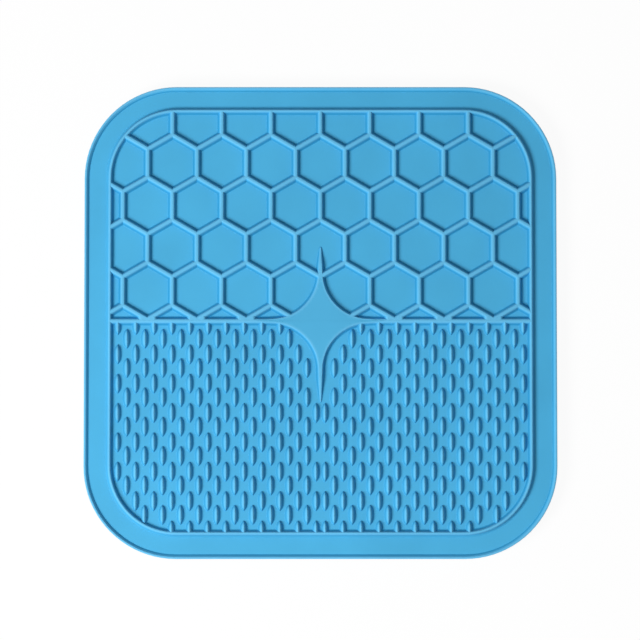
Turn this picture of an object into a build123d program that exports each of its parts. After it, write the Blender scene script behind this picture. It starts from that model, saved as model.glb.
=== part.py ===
"""Square silicone lick mat: honeycomb field, ridged field, center star and suction cups."""

import os
from math import atan2, cos, degrees, floor, radians, sqrt, tan

from build123d import *

# Mat outline and sheet
mat_side = 200.0
mat_corner = 39.0
sheet_thickness = 2.0
sheet_edge_bevel = 0.6

# Lip round the edge: upright outside, sloped inside
lip_height = 1.3
lip_base = 1.9
lip_crest = 0.8

# One drafted section for the frame, the divider and the honeycomb
rib_height = 2.0
rib_base = 3.0
rib_crest = 1.3
frame_inset = 10.5

# The divider's and the star's middle above the mat's middle
divider_rise = 0.5

# Honeycomb: flat-to-flat pitch, and the middle of its lowest zigzag above the divider's middle
cell_pitch = 20.92
honeycomb_start = 3.7
least_rib_share = 0.08

# Star: reach of its two spikes, radius of the scooped sides, half widths of the top along the spikes
star_upper_reach = 31.2
star_lower_reach = 34.2
star_scoop = 19.6
star_waist = 1.0
star_tip = 0.25
star_arm_end = 22.0

# Lick ridges: grains with pointed ends and a straight crest
ridge_height = 1.9
ridge_length = 8.6
ridge_width = 2.8
ridge_point = 2.8
ridge_crest_length = 5.4
ridge_pitch = 3.811
ridge_row_pitch = 12.4
ridge_stagger = 5.8
ridge_first = 1.75
least_ridge_share = 0.3

# Suction cups under the sheet
cup_height = 3.6
cup_radius = 8.0
cup_neck = 5.2
cup_lip_width = 0.7
cup_hollow_depth = 2.3
cup_pitch = 64.0
cups_per_row = 3

# Levels and sizes that follow from the above
sheet_top = cup_height + sheet_thickness
rib_flank = (rib_base - rib_crest) / 2
rib_draft = degrees(atan2(rib_flank, rib_height))
lip_draft = degrees(atan2(lip_base - lip_crest, lip_height))
field_half = mat_side / 2 - frame_inset
field_clear = field_half - rib_base / 2
cell_side = cell_pitch / sqrt(3)
zigzag_pitch = 1.5 * cell_side
zigzag_rise = cell_side / 2
rib_angle = 60
mitre = 1 / (2 * tan(radians(rib_angle)))
scoop_center = star_scoop + star_waist
foot_scoop = star_scoop - rib_flank


def mat_outline(inset):
    """The mat's outline drawn in by an inset, on the sheet."""
    side = mat_side - 2 * inset
    with BuildSketch(Plane.XY.offset(sheet_top)) as outline:
        RectangleRounded(side, side, mat_corner - inset)
    return outline.sketch


def rib_section(plane):
    """The ribs' drafted section, standing on the sheet in an upright plane."""
    with BuildSketch(plane) as section:
        with Locations((0, sheet_top)):
            Trapezoid(rib_base, rib_height, 90 - rib_draft, align=(Align.CENTER, Align.MIN))
    return section.sketch


def star_half_width(distance):
    """Half width of the star's foot at a distance below the divider's middle."""
    reach = star_lower_reach + rib_flank
    if distance > reach:
        return 0
    if distance > scoop_center:
        share = (reach - distance) / (reach - scoop_center)
        return rib_flank + star_tip + (star_waist - star_tip) * share
    drop = min(scoop_center - distance, foot_scoop)
    return scoop_center - sqrt(foot_scoop**2 - drop**2)


def shows_beside_star(x, drop):
    """Whether the stretch of a ridge that shows below the divider stands clear of the star."""
    near_end = max(drop - ridge_length / 2, rib_base / 2)
    far_end = drop + ridge_length / 2
    return x - ridge_width / 2 > star_half_width((near_end + far_end) / 2)


with BuildPart() as base_sheet:
    extrude(mat_outline(0), amount=-sheet_thickness)
    chamfer(base_sheet.edges().group_by(Axis.Z)[0], sheet_edge_bevel)
base_sheet.part.label = "base_sheet"

with BuildPart() as outer_lip:
    extrude(mat_outline(0), amount=lip_height)
    extrude(mat_outline(lip_base), amount=lip_height, taper=-lip_draft, mode=Mode.SUBTRACT)
outer_lip.part.label = "outer_lip"

with BuildPart() as field_frame:
    extrude(mat_outline(frame_inset - rib_base / 2), amount=rib_height, taper=rib_draft)
    extrude(
        mat_outline(frame_inset + rib_base / 2),
        amount=rib_height,
        taper=-rib_draft,
        mode=Mode.SUBTRACT,
    )
field_frame.part.label = "field_frame"

# The star's foot reaches past the ends of its level arms, which are then cut square for the divider
with BuildPart() as center_star:
    with BuildSketch(Plane((0, divider_rise, sheet_top))):
        with BuildLine():
            waist = star_waist + rib_flank
            scoop_middle = scoop_center - foot_scoop * cos(radians(45))
            arm_fall = (waist - rib_base / 2) / (star_arm_end - scoop_center)
            arm_reach = star_arm_end + rib_base / 2
            arm_tip = (1 - arm_fall) * rib_base / 2
            spike_tip = star_tip + rib_flank
            for up, reach in ((1, star_upper_reach), (-1, star_lower_reach)):
                spike_end = up * (reach + rib_flank)
                Polyline((arm_reach, 0), (arm_reach, up * arm_tip), (scoop_center, up * waist))
                ThreePointArc(
                    (scoop_center, up * waist),
                    (scoop_middle, up * scoop_middle),
                    (waist, up * scoop_center),
                )
                Polyline((waist, up * scoop_center), (spike_tip, spike_end), (0, spike_end))
            mirror(about=Plane.YZ)
        make_face()
    extrude(amount=rib_height, taper=rib_draft)
    split(bisect_by=Plane.YZ.offset(star_arm_end), keep=Keep.BOTTOM)
    split(bisect_by=Plane.YZ.offset(-star_arm_end), keep=Keep.TOP)
center_star.part.label = "center_star"

with BuildPart() as divider_right:
    arm_end = Plane((star_arm_end, divider_rise, 0), x_dir=(0, 1, 0), z_dir=(1, 0, 0))
    extrude(rib_section(arm_end), amount=field_half - star_arm_end)
    add(field_frame.part, mode=Mode.SUBTRACT)
divider_right.part.label = "divider_right"

with BuildPart() as divider_left:
    mirror(divider_right.part, about=Plane.YZ)
divider_left.part.label = "divider_left"

walls = [field_frame.part, center_star.part, divider_left.part, divider_right.part]

# Spaces inside the frame's middle line: the honeycomb above the divider, the ridges below it
with BuildPart() as upper_field:
    extrude(mat_outline(frame_inset), amount=rib_height)
    split(bisect_by=Plane.XZ.offset(-divider_rise), keep=Keep.BOTTOM)

with BuildPart() as lower_field:
    extrude(mat_outline(frame_inset), amount=rib_height)
    split(bisect_by=Plane.XZ.offset(-divider_rise), keep=Keep.TOP)

# One rib of the honeycomb, along Y, mitred at both ends to meet two others at 120 degrees
with BuildPart() as rib:
    extrude(rib_section(Plane.XZ), amount=cell_side / 2, both=True)
    with BuildSketch(Plane.XY.offset(sheet_top)):
        with BuildLine():
            shoulder = (rib_base / 2, cell_side / 2 - rib_base * mitre)
            Polyline((0, cell_side / 2), shoulder, (shoulder[0], 0))
            mirror(about=Plane.XZ)
            mirror(about=Plane.YZ)
        make_face()
    extrude(amount=rib_height, mode=Mode.INTERSECT)

# One lick ridge, along Y
with BuildPart() as ridge:
    ridge_feet = [
        (side * ridge_width / 2, end * (ridge_length / 2 - ridge_point), sheet_top)
        for side in (-1, 1)
        for end in (-1, 1)
    ]
    ridge_ends = [(0, end * ridge_length / 2, sheet_top) for end in (-1, 1)]
    ridge_crest = [(0, end * ridge_crest_length / 2, sheet_top + ridge_height) for end in (-1, 1)]
    ConvexPolyhedron(ridge_feet + ridge_ends + ridge_crest)


def trimmed_group(label, bar, angle, spots, field, least_share):
    """Bars set at the given spots, cut off at the walls, with slivers left out."""
    with BuildPart() as group:
        with Locations(*spots):
            add(bar.part, rotation=(0, 0, angle))
        add(field.part, mode=Mode.INTERSECT)
        add(walls, mode=Mode.SUBTRACT)
    least_volume = least_share * bar.part.volume
    kept = [solid for solid in group.part.solids() if solid.volume > least_volume]
    return Compound(kept, label=label)


# Honeycomb: zigzag lines one above the other, joined by uprights
first_zigzag = divider_rise + honeycomb_start
zigzag_count = floor((field_clear - first_zigzag + zigzag_rise / 2) / zigzag_pitch) + 1
cell_reach = floor(field_half / cell_pitch) + 1
upright_spots = []
rising_spots = []
falling_spots = []
for line in range(zigzag_count):
    middle = first_zigzag + line * zigzag_pitch
    lean = cell_pitch / 4 if line % 2 else -cell_pitch / 4
    peak = cell_pitch / 2 if line % 2 else 0
    for cell in range(-cell_reach, cell_reach + 1):
        x = cell * cell_pitch
        rising_spots.append((x + lean, middle))
        falling_spots.append((x - lean, middle))
        upright_spots.append((x + peak, middle + zigzag_pitch / 2))

honeycomb = [
    trimmed_group("honeycomb_uprights", rib, 0, upright_spots, upper_field, least_rib_share),
    trimmed_group("honeycomb_rising", rib, -rib_angle, rising_spots, upper_field, least_rib_share),
    trimmed_group("honeycomb_falling", rib, rib_angle, falling_spots, upper_field, least_rib_share),
]

# Ridges: columns mirrored about the middle, every second column set lower
first_column = ridge_pitch / 2
column_count = floor((field_clear - ridge_width / 2 - first_column) / ridge_pitch) + 1
row_space = field_half + divider_rise - ridge_first
row_pairs = floor(row_space / ridge_row_pitch) + 1
last_pair_whole = (row_pairs - 1) * ridge_row_pitch + ridge_stagger < row_space
row_count = 2 * row_pairs if last_pair_whole else 2 * row_pairs - 1
ridge_rows = []
for row in range(row_count):
    drop = ridge_first + (row // 2) * ridge_row_pitch + (row % 2) * ridge_stagger
    y = divider_rise - drop
    spots = []
    for column in range(row % 2, column_count, 2):
        x = first_column + column * ridge_pitch
        if shows_beside_star(x, drop):
            spots += [(-x, y), (x, y)]
    label = f"ridge_row_{row + 1:02d}"
    ridge_rows.append(trimmed_group(label, ridge, 0, spots, lower_field, least_ridge_share))

with BuildPart() as cup:
    with BuildSketch(Plane.XZ):
        with BuildLine():
            Polyline(
                (0, cup_height),
                (cup_neck, cup_height),
                (cup_radius, 0),
                (cup_radius - cup_lip_width, 0),
                (0, cup_hollow_depth),
                close=True,
            )
        make_face()
    revolve(axis=Axis.Z)

cup_rows = []
for row in range(cups_per_row):
    y = (row - (cups_per_row - 1) / 2) * cup_pitch
    with BuildPart() as suction_cups:
        with Locations((0, y)):
            with GridLocations(cup_pitch, cup_pitch, cups_per_row, 1):
                add(cup.part)
    suction_cups.part.label = f"suction_cups_{row + 1}"
    cup_rows.append(suction_cups.part)

nodes = [
    base_sheet.part,
    outer_lip.part,
    field_frame.part,
    center_star.part,
    divider_left.part,
    divider_right.part,
]
os.makedirs("parts", exist_ok=True)
for node in nodes + honeycomb + ridge_rows + cup_rows:
    export_step(node, f"parts/{node.label}.step")
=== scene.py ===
"""Looks of the silicone lick mat, moulded over its CAD frame."""

import math

import bmesh
import bpy
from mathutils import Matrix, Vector


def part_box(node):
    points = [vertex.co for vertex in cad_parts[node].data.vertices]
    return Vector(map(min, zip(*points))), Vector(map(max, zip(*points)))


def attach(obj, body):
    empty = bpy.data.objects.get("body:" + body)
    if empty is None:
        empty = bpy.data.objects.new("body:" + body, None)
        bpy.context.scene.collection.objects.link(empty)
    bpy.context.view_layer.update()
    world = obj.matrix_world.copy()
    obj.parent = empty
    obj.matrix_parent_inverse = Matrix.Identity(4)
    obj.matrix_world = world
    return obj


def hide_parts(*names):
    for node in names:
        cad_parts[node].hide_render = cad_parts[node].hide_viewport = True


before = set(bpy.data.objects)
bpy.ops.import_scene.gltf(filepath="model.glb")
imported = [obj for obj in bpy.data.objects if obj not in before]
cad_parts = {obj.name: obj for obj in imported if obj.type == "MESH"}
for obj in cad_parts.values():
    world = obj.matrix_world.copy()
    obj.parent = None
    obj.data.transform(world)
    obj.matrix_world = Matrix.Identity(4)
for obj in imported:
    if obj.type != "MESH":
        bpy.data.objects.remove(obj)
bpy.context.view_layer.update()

# Scene units are metres, and the mat's lengths below are in millimetres
MM = 0.001


def box_mm(node):
    """Lowest and highest corner of a CAD node, in millimetres."""
    low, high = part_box(node)
    return low / MM, high / MM


# Levels and sizes read from the frame
sheet_low, sheet_high = box_mm("base_sheet")
sheet_bottom = sheet_low.z
sheet_top = sheet_high.z
mat_half = sheet_high.x
lip_height = box_mm("outer_lip")[1].z - sheet_top
rib_height = box_mm("field_frame")[1].z - sheet_top
ridge_height = box_mm("ridge_row_03")[1].z - sheet_top
frame_half = box_mm("field_frame")[1].x
divider_low, divider_high = box_mm("divider_right")
divider_rise = (divider_low.y + divider_high.y) / 2
rib_base = divider_high.y - divider_low.y

# Tones painted on the relief: -1 is the deepest painted shade, 0 is the plain sheet's dye and 1 is the
# palest painted highlight
deepest_painted_shade = -1

# Sheet and lip
mat_corner = 39.0
sheet_edge_round = 0.6
lip_base = 1.9
lip_crest = 0.8
lip_round = 0.3
lip_fillet = 0.4

# Ribs of the divider and the honeycomb
rib_crest = 1.3
rib_round = 0.7
foot_fillet = 1.0

# The foot of each relief ends in a skirt that dips just under the sheet
skirt_run = 0.2
skirt_drop = 0.01

# Middle line of the CAD frame
field_half = frame_half - rib_base / 2
field_corner = mat_corner - mat_half + field_half

# Frame rib: slimmer than its solid, further in at the sides, further up at the top and bottom
frame_base = 2.4
frame_crest = 0.8
frame_round = 0.5
# Painted shade at the frame's outer foot, towards the gutter, goes no deeper than this
frame_gutter_painted_shade = -0.3
frame_rise = (rib_base - frame_base) / 2
frame_half_width = field_half - frame_rise

# Honeycomb
cell_pitch = 20.92
honeycomb_start = 3.7
cell_side = cell_pitch / math.sqrt(3)
zigzag_pitch = 1.5 * cell_side
zigzag_rise = cell_side / 2
trim_steps = 240

# Three ribs meet at 120 degrees: a mitre's run for each millimetre across, and the zigzag's slope
mitre_run = 1 / math.tan(math.radians(120 / 2))
zigzag_slope = mitre_run

# Where two pieces cross, the lesser one lies this much lower
divider_sink = 0.008
honeycomb_sink = 0.016
web_sink = 0.024

# Webs that fill the sharp corners between the divider and the lowest zigzag: level, then falling
web_level = 3.0
web_reach = 5.0
web_steps = 14

# Star: its top edge, the painted highlight rim inside that edge, and its spikes that sink towards their
# tips
star_upper_reach = 31.2
star_lower_reach = 34.2
star_scoop = 20.0
star_waist = 0.75
star_tip = 0.25
star_arm_end = 22.0
star_arm_tip = 0.25
star_round = 0.25
highlight_rim_width = 1.0
highlight_rim_share = 0.6
highlight_rim_least = 0.03
# Painted highlight on the star's level top: plain dye near its middle, paler towards the thin spikes
plain_reach = 14.0
cap_least_painted_highlight = 0.2
spike_fade_start = 0.3
spike_end_height = 0.25
tip_steps = 6
scoop_steps = 40
spike_steps = 10
scoop_center = star_scoop + star_waist
arm_fall = (star_waist - rib_crest / 2) / (star_arm_end - scoop_center)

# Lick ridges: grid, section as shares of half width and height, and shape along the crest
ridge_length = 8.6
ridge_width = 3.0
ridge_pitch = 3.811
ridge_row_pitch = 12.4
ridge_stagger = 5.8
ridge_first = 1.75
ridge_touch = 0.8
ridge_stations = 14
ridge_section_steps = 8
ridge_section_power = 1.6
ridge_foot_reach = 1.12
ridge_foot_blend = 0.09
ridge_sides_power = 3.2
ridge_crest_power = 4.0
# Painted shade at the ridges' feet goes no deeper than this
ridge_least_painted_shade = -0.65

# Suction cups
cup_radius = 8.0
cup_neck = 5.2
cup_lip_width = 0.7
cup_hollow_depth = 2.3
cup_hollow_start = 0.05
cup_hollow_round = 1.5
cup_lip_round = 0.2
cup_flare_round = 4
cup_flare_share = 0.35
cup_flare_level = 0.5
cup_steps = 40

# Fineness of the meshes
round_steps = 5
corner_steps = 20
sharp_angle = math.radians(38)
weld_distance = 0.001
smooth_corners = 4

# Silicone: plain dye, painted shade and painted highlight in linear colour, gloss, uneven bloom and
# moulded grain
painted_shade_colour = (0.022, 0.272, 0.530, 1)
dye_plain = (0.070, 0.412, 0.691, 1)
painted_highlight_colour = (0.122, 0.480, 0.768, 1)
silicone_ior = 1.41
specular_level = 0.15
sheen_weight = 0.04
sheen_roughness = 0.5
bloom_scale = 38
bloom_detail = 4
bloom_noise = (0.3, 0.7)
bloom_tint = (0.96, 1.04)
grain_scale = 1400
grain_detail = 3
grain_roughness = (0.46, 0.62)
grain_strength = 0.12
grain_depth = 0.05


def noise(tree, place, scale, detail):
    """A socket with noise over the object."""
    texture = tree.nodes.new("ShaderNodeTexNoise")
    texture.inputs["Scale"].default_value = scale
    texture.inputs["Detail"].default_value = detail
    tree.links.new(place, texture.inputs["Vector"])
    return texture.outputs["Fac"]


def mapped(tree, value, low, high, to_low, to_high):
    """A socket that maps one range of a value to another."""
    spread = tree.nodes.new("ShaderNodeMapRange")
    spread.inputs["From Min"].default_value = low
    spread.inputs["From Max"].default_value = high
    spread.inputs["To Min"].default_value = to_low
    spread.inputs["To Max"].default_value = to_high
    tree.links.new(value, spread.inputs["Value"])
    return spread.outputs["Result"]


def silicone_material():
    """Matte, dyed silicone rubber with a faint uneven bloom, and painted shade and painted highlight
    from the relief tones.
    """
    material = bpy.data.materials.new("silicone")
    material.use_nodes = True
    tree = material.node_tree
    shader = tree.nodes["Principled BSDF"]
    shader.inputs["IOR"].default_value = silicone_ior
    shader.inputs["Specular IOR Level"].default_value = specular_level
    shader.inputs["Sheen Weight"].default_value = sheen_weight
    shader.inputs["Sheen Roughness"].default_value = sheen_roughness

    # Painted light: the relief attribute picks painted shade at the feet and painted highlight on the
    # crests
    relief = tree.nodes.new("ShaderNodeAttribute")
    relief.attribute_name = "relief"
    dye_and_painted_light = tree.nodes.new("ShaderNodeValToRGB")
    deep, pale = dye_and_painted_light.color_ramp.elements
    deep.color = painted_shade_colour
    pale.color = painted_highlight_colour
    # The plain dye lies in the middle of the ramp, between the painted shade and painted highlight ends,
    # and is added once both ends have their colours
    dye_and_painted_light.color_ramp.elements.new(0.5).color = dye_plain
    tree.links.new(mapped(tree, relief.outputs["Fac"], deepest_painted_shade, 1, 0, 1), dye_and_painted_light.inputs["Fac"])

    place = tree.nodes.new("ShaderNodeTexCoord").outputs["Object"]
    bloom = noise(tree, place, bloom_scale, bloom_detail)
    tint = tree.nodes.new("ShaderNodeVectorMath")
    tint.operation = "SCALE"
    tree.links.new(dye_and_painted_light.outputs["Color"], tint.inputs[0])
    tree.links.new(mapped(tree, bloom, *bloom_noise, *bloom_tint), tint.inputs["Scale"])
    tree.links.new(tint.outputs["Vector"], shader.inputs["Base Color"])

    grain = noise(tree, place, grain_scale, grain_detail)
    tree.links.new(mapped(tree, grain, 0, 1, *grain_roughness), shader.inputs["Roughness"])
    bump = tree.nodes.new("ShaderNodeBump")
    bump.inputs["Strength"].default_value = grain_strength
    bump.inputs["Distance"].default_value = grain_depth * MM
    tree.links.new(grain, bump.inputs["Height"])
    tree.links.new(bump.outputs["Normal"], shader.inputs["Normal"])
    return material


silicone = silicone_material()


def piece(name, surfaces, *nodes):
    """A moulded piece made of surfaces, standing for CAD nodes."""
    points = []
    tones = []
    faces = []
    for surface_points, surface_faces in surfaces:
        shift = len(points)
        points += [(x * MM, y * MM, z * MM) for x, y, z, tone in surface_points]
        tones += [tone for x, y, z, tone in surface_points]
        faces += [[shift + corner for corner in face] for face in surface_faces]
    mesh = bpy.data.meshes.new(name)
    mesh.from_pydata(points, [], faces)
    # The relief tones: painted shade and painted highlight on each point
    mesh.attributes.new("relief", "FLOAT", "POINT").data.foreach_set("value", tones)
    work = bmesh.new()
    work.from_mesh(mesh)
    bmesh.ops.remove_doubles(work, verts=work.verts, dist=weld_distance * MM)
    work.to_mesh(mesh)
    work.free()
    for polygon in mesh.polygons:
        polygon.use_smooth = polygon.loop_total <= smooth_corners
    mesh.set_sharp_from_angle(angle=sharp_angle)
    mesh.materials.append(silicone)
    obj = bpy.data.objects.new(name, mesh)
    bpy.context.scene.collection.objects.link(obj)
    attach(obj, "root")
    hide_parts(*nodes)


# Share of a crest's height, tone there: painted shade below 0, painted highlight above 0
painted_shading_tones = [(0, 0), (0.05, -1), (0.3, -0.7), (0.7, 0.3), (0.9, 1), (1.01, 1)]


def painted_shading_tone(share):
    """Tone at a share of a crest's height: a painted highlight makes the thin crests paler, and painted
    shade makes the feet deeper.
    """
    for (low, start), (high, end) in zip(painted_shading_tones, painted_shading_tones[1:]):
        if low <= share < high:
            return start + (end - start) * (share - low) / (high - low)
    return 0


def surface(rows, loop=False):
    """Points and faces of a surface through rows of points, closed in a loop or not."""
    width = len(rows[0])
    points = [point for row in rows for point in row]
    faces = []
    for first in range(len(rows) if loop else len(rows) - 1):
        second = (first + 1) % len(rows)
        for column in range(width - 1):
            a = first * width + column
            b = second * width + column
            faces.append((a, b, b + 1, a + 1))
    return points, faces


def rounded(points, radii):
    """A flat polyline whose inner corners are arcs of the given radii."""
    line = [Vector(points[0])]
    for before, corner, after, radius in zip(points, points[1:], points[2:], radii):
        corner = Vector(corner)
        back = (Vector(before) - corner).normalized()
        on = (Vector(after) - corner).normalized()
        half = back.angle(on) / 2
        run = radius / math.tan(half)
        center = corner + (back + on).normalized() * (radius / math.sin(half))
        start = corner + back * run - center
        end = corner + on * run - center
        for step in range(round_steps + 1):
            line.append(center + radius * start.slerp(end, step / round_steps))
    line.append(Vector(points[-1]))
    return [tuple(point) for point in line]


def skirted(profile):
    """A profile whose last point dips just under the sheet."""
    reach = profile[-2][0] + skirt_run
    return profile[:-1] + [(reach, -skirt_drop)]


def mirrored(half):
    """Both sides of a half profile that starts on the middle."""
    return [(-out, height) for out, height in reversed(half[1:])] + half


def rib_section(base, crest, crest_round):
    """A rib's section: distance from its middle, height."""
    half = rounded(
        [(0, rib_height), (crest / 2, rib_height), (base / 2, 0), (2 * base, 0)],
        [crest_round, foot_fillet],
    )
    return mirrored(skirted(half))


rib_profile = rib_section(rib_base, rib_crest, rib_round)
frame_profile = rib_section(frame_base, frame_crest, frame_round)


def rounded_path(half_width, half_height, corner, rise=0):
    """Points and outward directions round a rectangle with rounded corners, counter-clockwise."""
    path = []
    for quarter in range(4):
        for step in range(corner_steps + 1):
            angle = math.radians(90 * (quarter + step / corner_steps))
            out = Vector((math.cos(angle), math.sin(angle)))
            diagonal = math.radians(90 * (quarter + 0.5))
            middle_x = math.copysign(half_width - corner, math.cos(diagonal))
            middle_y = math.copysign(half_height - corner, math.sin(diagonal)) + rise
            path.append((Vector((middle_x, middle_y)) + out * corner, out))
    return path


def swept(path, profile, crest, gutter_painted_shade=deepest_painted_shade):
    """A profile (distance outward, height) swept round a path, with its crest at a height; its tones are
    painted shade at the feet and painted highlight at the crest, and on the outward side the painted
    shade goes no deeper than the gutter's.
    """
    rows = []
    for spot, out in path:
        row = []
        for reach, height in profile:
            # Painted shade at the feet and painted highlight on the crest
            tone = painted_shading_tone(height / crest)
            if reach > 0:
                tone = max(tone, gutter_painted_shade)
            row.append((*(spot + out * reach), sheet_top + height, tone))
        rows.append(row)
    return surface(rows, loop=True)


def lid(path, reach, height, turn=1):
    """A level face inside a path drawn out by a reach."""
    points = [(*(spot + out * reach), sheet_top + height, 0) for spot, out in path]
    return points, [list(range(len(points)))[::turn]]


def make_sheet():
    """The web: level above and below, upright at the edge and rounded under it."""
    path = rounded_path(mat_half, mat_half, mat_corner)
    drop = sheet_bottom - sheet_top
    profile = rounded([(0, 0), (0, drop), (-2 * sheet_edge_round, drop)], [sheet_edge_round])
    wall = swept(path, profile[::-1], rib_height)
    piece("sheet_web", [wall, lid(path, *profile[0]), lid(path, *profile[-1], turn=-1)], "base_sheet")


def make_lip():
    """The low wall round the edge, upright outside and sloped inside."""
    path = rounded_path(mat_half, mat_half, mat_corner)
    inward = rounded(
        [(0, 0), (0, lip_height), (lip_crest, lip_height), (lip_base, 0), (2 * lip_base, 0)],
        [lip_round, lip_round, lip_fillet],
    )
    profile = [(-reach, height) for reach, height in skirted(inward)]
    piece("lip_rim", [swept(path, profile, lip_height)], "outer_lip")


def make_frame():
    """The rib round the field."""
    path = rounded_path(frame_half_width, field_half, field_corner, frame_rise)
    piece("frame_rib", [swept(path, frame_profile[::-1], rib_height, frame_gutter_painted_shade)], "field_frame")


def spike_fall(reach):
    """How much the half width of a spike's top falls for each millimetre along it."""
    return (star_waist - star_tip) / (reach - scoop_center)


def star_quarter(reach):
    """A quarter of the star's top edge, from arm to spike: points, outward directions, height shares."""
    line = []
    arm_angle = math.atan(arm_fall)
    arm_length = scoop_center + (star_waist - star_arm_tip) / arm_fall
    for step in range(tip_steps + 1):
        angle = (math.pi / 2 - arm_angle) * step / tip_steps
        out = Vector((math.cos(angle), math.sin(angle)))
        line.append((Vector((arm_length, 0)) + out * star_arm_tip, out, 1))
    middle = Vector((scoop_center, scoop_center))
    for step in range(scoop_steps + 1):
        angle = -math.pi / 2 * (1 + step / scoop_steps)
        inward = Vector((math.cos(angle), math.sin(angle)))
        line.append((middle + inward * star_scoop, -inward, 1))
    waist = line[-1][0]
    spike_angle = math.atan(spike_fall(reach))
    out = Vector((math.cos(spike_angle), math.sin(spike_angle)))
    tip = Vector((0, reach - star_tip))
    for step in range(1, spike_steps):
        share = step / spike_steps
        fade = max((share - spike_fade_start) / (1 - spike_fade_start), 0)
        line.append((waist.lerp(tip + out * star_tip, share), out, 1 - (1 - spike_end_height) * fade))
    for step in range(tip_steps + 1):
        angle = spike_angle + (math.pi / 2 - spike_angle) * step / tip_steps
        out = Vector((math.cos(angle), math.sin(angle)))
        line.append((tip + out * star_tip, out, spike_end_height))
    return line


def star_side():
    """The right side of the star's top edge, from the lower tip to the upper one."""
    down = Vector((1, -1))
    lower = [(spot * down, out * down, share) for spot, out, share in star_quarter(star_lower_reach)]
    edge = lower[:0:-1] + star_quarter(star_upper_reach)
    middle = Vector((0, divider_rise))
    return [(middle + spot, out, share) for spot, out, share in edge]


def cap_painted_highlight(distance):
    """Tone of the star's level top at a distance from its middle: a painted highlight, paler on the thin
    spikes.
    """
    return min(max((distance - plain_reach) / (scoop_center - plain_reach), cap_least_painted_highlight), 1)


def make_star():
    """The flat-topped star, with a rounded edge, drafted flanks and sinking spikes."""
    flank = (rib_base - rib_crest) / 2
    profile = skirted(
        rounded(
            [(-rib_base, rib_height), (0, rib_height), (flank, 0), (2 * rib_base, 0)],
            [star_round, foot_fillet],
        )[1:]
    )[::-1]
    right = star_side()
    across = Vector((-1, 1))
    left = [(spot * across, out * across, share) for spot, out, share in right]
    rows = []
    for spot, out, share in right + left[-2:0:-1]:
        row = []
        for reach, height in profile:
            level = sheet_top + height * share
            # Painted shade at the star's foot and painted highlight on its rounded edge
            row.append((*(spot + out * reach * share), level, painted_shading_tone(height / rib_height)))
        from_middle = abs(spot.y - divider_rise)
        slim = min(abs(spot.x), from_middle) + profile[-1][0]
        # Painted highlight: a paler rim band inside the top edge, flat at the crest's level
        rim = max(min(highlight_rim_width, highlight_rim_share * slim), highlight_rim_least)
        inner = spot + out * (profile[-1][0] - rim) * share
        row.append((*inner, sheet_top + rib_height * share, cap_painted_highlight(from_middle)))
        rows.append(row)
    edge = [row[-1] for row in rows[: len(right)]]
    cap = surface([[(x, y, z, tone), (-x, y, z, tone)] for x, y, z, tone in edge])
    piece("star_relief", [surface(rows, loop=True), cap], "center_star")


def bar(start, end, mitred_start, mitred_end, sink):
    """A rib from start to end, its ends mitred to meet two others or cut square."""
    along = (end - start).normalized()
    across = Vector((-along.y, along.x))
    length = (end - start).length
    tail = []
    head = []
    for reach, height in rib_profile:
        point = start + across * reach
        last = length - (abs(reach) * mitre_run if mitred_end else 0)
        first = min(abs(reach) * mitre_run if mitred_start else 0, last)
        level = sheet_top + height - sink
        # Painted shade at the rib's feet and painted highlight on its crest
        tone = painted_shading_tone(height / rib_height)
        tail.append((*(point + along * first), level, tone))
        head.append((*(point + along * last), level, tone))
    return surface([head, tail])


def make_dividers():
    """The bars between the two fields, from inside the star to the frame's middle."""
    for side, name in ((-1, "left"), (1, "right")):
        start = Vector((side * star_scoop / 2, divider_rise))
        end = Vector((side * frame_half_width, divider_rise))
        made = bar(start, end, False, False, divider_sink)
        piece(f"divider_rib_{name}", [made], f"divider_{name}")


def star_depth(x, y):
    """How far inside the star's top edge a point lies."""
    reach = star_upper_reach if y > divider_rise else star_lower_reach
    x = abs(x)
    y = abs(y - divider_rise)
    if y > reach:
        return -1
    if y > scoop_center:
        return star_waist - spike_fall(reach) * (y - scoop_center) - x
    if x > scoop_center:
        return star_waist - arm_fall * (x - scoop_center) - y
    return math.hypot(scoop_center - x, scoop_center - y) - star_scoop


def frame_reach(x, y):
    """How far outside the frame's middle line a point lies."""
    past_x = abs(x) - (frame_half_width - field_corner)
    past_y = abs(y - frame_rise) - (field_half - field_corner)
    if past_x > 0 and past_y > 0:
        return math.hypot(past_x, past_y) - field_corner
    return max(past_x, past_y) - field_corner


def covered(spot):
    """Whether the frame, the divider or the star covers a rib that ends here."""
    return spot.y < divider_rise or frame_reach(*spot) > 0 or star_depth(*spot) > rib_crest / 2


def trimmed_bars(start, end):
    """The stretches of a honeycomb rib that show, as bars."""
    made = []
    shown = [not covered(start.lerp(end, step / trim_steps)) for step in range(trim_steps + 1)]
    step = 0
    while step <= trim_steps:
        if not shown[step]:
            step += 1
            continue
        first = step
        while step < trim_steps and shown[step + 1]:
            step += 1
        if step > first:
            tail = start.lerp(end, first / trim_steps)
            head = start.lerp(end, step / trim_steps)
            made.append(bar(tail, head, first == 0, step == trim_steps, honeycomb_sink))
        step += 1
    return made


def zigzag_point(column, line):
    """A corner of the honeycomb: lines alternate peaks and valleys along half pitches."""
    rise = zigzag_rise / 2 if (column + line) % 2 == 0 else -zigzag_rise / 2
    return Vector((column * cell_pitch / 2, divider_rise + honeycomb_start + line * zigzag_pitch + rise))


def web(valley, side):
    """The filled corner between the divider and the rib that rises to one side of a valley."""
    rows = []
    for step in range(web_steps + 1):
        run = web_reach * step / web_steps
        fall = max((run - web_level) / (web_reach - web_level), 0)
        share = (1 + math.cos(math.pi * fall)) / 2
        level = sheet_top + rib_height * share - web_sink
        # Painted shade at the web's foot and painted highlight on its level top
        tone = painted_shading_tone(share)
        x = valley.x + side * run
        rows.append([(x, divider_rise, level, tone), (x, valley.y + run * zigzag_slope, level, tone)])
    return surface(rows[::side])


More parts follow.
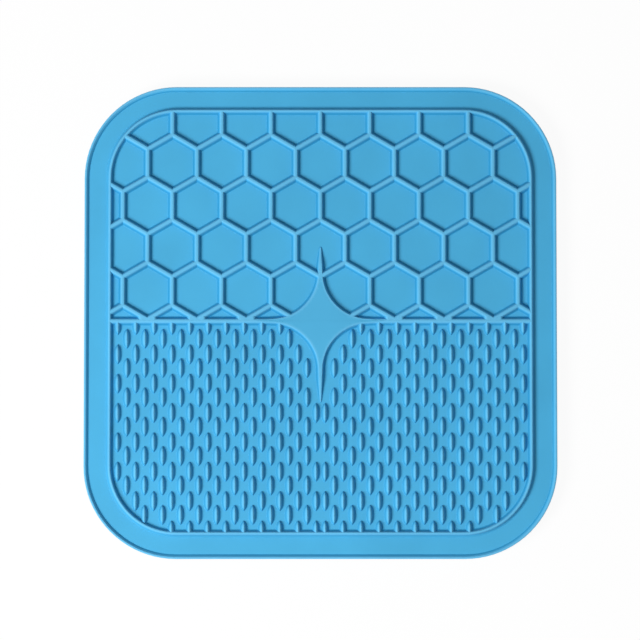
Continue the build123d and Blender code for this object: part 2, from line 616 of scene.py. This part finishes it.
def make_honeycomb():
    """Three families of ribs: uprights, and the rising and falling halves of the zigzags."""
    families = {"uprights": [], "rising": [], "falling": []}
    columns = 2 * math.ceil(field_half / cell_pitch)
    lines = math.ceil(field_half / zigzag_pitch)
    for line in range(-1, lines):
        for column in range(-columns, columns):
            here = zigzag_point(column, line)
            peak = (column + line) % 2 == 0
            if peak:
                families["uprights"] += trimmed_bars(here, zigzag_point(column, line + 1))
            elif line == 0 and star_arm_end < abs(here.x) < frame_half_width:
                families["falling"].append(web(here, -1))
                families["rising"].append(web(here, 1))
            slope = "falling" if peak else "rising"
            families[slope] += trimmed_bars(here, zigzag_point(column + 1, line))
    for family, bars in families.items():
        piece(f"honeycomb_ribs_{family}", bars, f"honeycomb_{family}")


def ridge_section():
    """Half a ridge's section, from crest to foot: share of half width, share of height."""
    section = []
    for step in range(ridge_section_steps + 1):
        out = ridge_foot_reach * step / ridge_section_steps
        rise = 1 - out**ridge_section_power
        section.append((out, ridge_foot_blend * math.log(1 + math.exp(rise / ridge_foot_blend))))
    return section


ridge_half = ridge_section()


def ridge(x, y):
    """One lick ridge, along Y: a grain that is cut off under the divider and the frame."""
    corner = max(abs(x) - (frame_half_width - field_corner), 0)
    frame_end = frame_rise - field_half + field_corner - math.sqrt(field_corner**2 - corner**2)
    low = max(y - ridge_length / 2, frame_end)
    high = min(y + ridge_length / 2, divider_rise)
    rows = []
    for station in range(ridge_stations + 1):
        share = (1 - math.cos(math.pi * station / ridge_stations)) / 2
        spot = low + (high - low) * share
        along = min(abs(spot - y) / (ridge_length / 2), 1)
        wide = ridge_width / 2 * (1 - along**ridge_sides_power)
        tall = ridge_height * (1 - along**ridge_crest_power)
        half = [(out * wide, up * tall) for out, up in ridge_half]
        half.append((half[-1][0] + skirt_run, -skirt_drop))
        row = []
        for out, up in mirrored(half):
            # Painted shade at the ridge's feet, limited by the ridges' least, and painted highlight on
            # its crest
            tone = max(painted_shading_tone(up / ridge_height), ridge_least_painted_shade)
            row.append((x + out, spot, sheet_top + up, tone))
        rows.append(row)
    return surface(rows[::-1])


def make_ridges():
    """The rows of ridges that the CAD model has, one piece each."""
    rows = sorted(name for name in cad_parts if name.startswith("ridge_row"))
    columns = math.ceil(field_half / ridge_pitch)
    for row, node in enumerate(rows):
        y = divider_rise - ridge_first - (row // 2) * ridge_row_pitch - (row % 2) * ridge_stagger
        places = [vertex.co.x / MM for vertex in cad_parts[node].data.vertices]
        made = []
        for column in range(row % 2, columns, 2):
            for x in ((column + 0.5) * ridge_pitch, -(column + 0.5) * ridge_pitch):
                if min(abs(place - x) for place in places) < ridge_touch:
                    made.append(ridge(x, y))
        piece(f"lick_ridges_{row + 1:02d}", made, node)


def cup(x, y):
    """One suction cup: a flared skirt, a rounded lip and a shallow hollow."""
    height = sheet_bottom
    profile = rounded(
        [
            (cup_hollow_start, cup_hollow_depth),
            (cup_radius - cup_lip_width, 0),
            (cup_radius, 0),
            (cup_neck + cup_flare_share * (cup_radius - cup_neck), cup_flare_level * height),
            (cup_neck, height),
        ],
        [cup_hollow_round, cup_lip_round, cup_flare_round],
    )
    rows = []
    for step in range(cup_steps):
        angle = 2 * math.pi * step / cup_steps
        out = Vector((math.cos(angle), math.sin(angle)))
        rows.append([(x + out.x * reach, y + out.y * reach, level, 0) for reach, level in profile])
    return surface(rows, loop=True)


def make_cups():
    """The rows of cups under the sheet, one piece each, with as many cups in a row as there are rows."""
    rows = sorted(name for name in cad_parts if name.startswith("suction_cups"))
    total = len(rows)
    for node in rows:
        low, high = box_mm(node)
        y = (low.y + high.y) / 2
        first = low.x + cup_radius
        last = high.x - cup_radius
        cups = [cup(first + (last - first) * place / (total - 1), y) for place in range(total)]
        piece(f"cups_{node[-1]}", cups, node)


make_sheet()
make_lip()
make_frame()
make_star()
make_dividers()
make_honeycomb()
make_ridges()
make_cups()

# Studio: its lengths are in metres


def seen_by_camera(nodes, links):
    """A socket that is 1 for rays that show a surface to the camera."""
    path = nodes.new("ShaderNodeLightPath")
    most = path.outputs["Is Camera Ray"]
    for name in ("Is Glossy Ray", "Is Transmission Ray"):
        pick = nodes.new("ShaderNodeMath")
        pick.operation = "MAXIMUM"
        links.new(most, pick.inputs[0])
        links.new(path.outputs[name], pick.inputs[1])
        most = pick.outputs[0]
    return most


def make_floor():
    """A plain white floor that keeps the mat's shadow."""
    half = 3.0
    level = -0.0002
    grey = (0.9, 0.9, 0.9, 1)
    glow_share = 0.94
    mesh = bpy.data.meshes.new("floor")
    corners = [(-half, -half, level), (half, -half, level), (half, half, level), (-half, half, level)]
    mesh.from_pydata(corners, [], [(0, 1, 2, 3)])
    floor = bpy.data.objects.new("floor", mesh)
    bpy.context.scene.collection.objects.link(floor)
    material = bpy.data.materials.new("floor")
    material.use_nodes = True
    nodes = material.node_tree.nodes
    links = material.node_tree.links
    shader = nodes["Principled BSDF"]
    shader.inputs["Base Color"].default_value = grey
    shader.inputs["Roughness"].default_value = 0.9
    glow = nodes.new("ShaderNodeEmission")
    glow.inputs["Strength"].default_value = 1
    seen = seen_by_camera(nodes, links)
    share = nodes.new("ShaderNodeMath")
    share.operation = "MULTIPLY"
    share.inputs[1].default_value = glow_share
    links.new(seen, share.inputs[0])
    mix = nodes.new("ShaderNodeMixShader")
    links.new(share.outputs[0], mix.inputs[0])
    links.new(shader.outputs[0], mix.inputs[1])
    links.new(glow.outputs[0], mix.inputs[2])
    links.new(mix.outputs[0], nodes["Material Output"].inputs["Surface"])
    mesh.materials.append(material)


def make_world():
    """Soft light from all round, behind which the camera sees white."""
    strength = 0.26
    world = bpy.data.worlds.new("studio")
    bpy.context.scene.world = world
    world.use_nodes = True
    nodes = world.node_tree.nodes
    links = world.node_tree.links
    light = nodes["Background"]
    light.inputs["Color"].default_value = (1, 1, 1, 1)
    light.inputs["Strength"].default_value = strength
    white = nodes.new("ShaderNodeBackground")
    white.inputs["Color"].default_value = (1, 1, 1, 1)
    white.inputs["Strength"].default_value = 1
    mix = nodes.new("ShaderNodeMixShader")
    links.new(seen_by_camera(nodes, links), mix.inputs[0])
    links.new(light.outputs[0], mix.inputs[1])
    links.new(white.outputs[0], mix.inputs[2])
    links.new(mix.outputs[0], nodes["World Output"].inputs["Surface"])


def aimed(obj, spot, target):
    """Puts an object at a spot, looking at a target."""
    obj.location = spot
    obj.rotation_mode = "QUATERNION"
    obj.rotation_quaternion = (target - spot).to_track_quat("-Z", "Y")
    bpy.context.scene.collection.objects.link(obj)


def make_key():
    """One softbox, from the lower left of the picture."""
    distance = 1.15
    elevation = math.radians(45)
    azimuth = math.radians(212)
    flat = math.cos(elevation)
    toward = Vector((flat * math.cos(azimuth), flat * math.sin(azimuth), math.sin(elevation)))
    lamp = bpy.data.lights.new("key", "AREA")
    lamp.shape = "DISK"
    lamp.size = 0.58
    lamp.energy = 14.4
    aimed(bpy.data.objects.new("key", lamp), toward * distance, Vector((0, 0, 0)))


def make_camera():
    """Straight above, leaning a little towards the ridged half."""
    distance = 1.45
    lean = math.radians(3.5)
    picture_width = 0.27096
    target = Vector((-0.2 * MM, 0.95 * MM, sheet_top * MM))
    camera = bpy.data.cameras.new("camera")
    camera.sensor_width = 36
    camera.lens = camera.sensor_width * distance / picture_width
    camera.clip_end = 20
    obj = bpy.data.objects.new("camera", camera)
    aimed(obj, target + distance * Vector((0, -math.sin(lean), math.cos(lean))), target)
    bpy.context.scene.camera = obj


make_floor()
make_world()
make_key()
make_camera()
bpy.context.scene.view_settings.view_transform = "Standard"
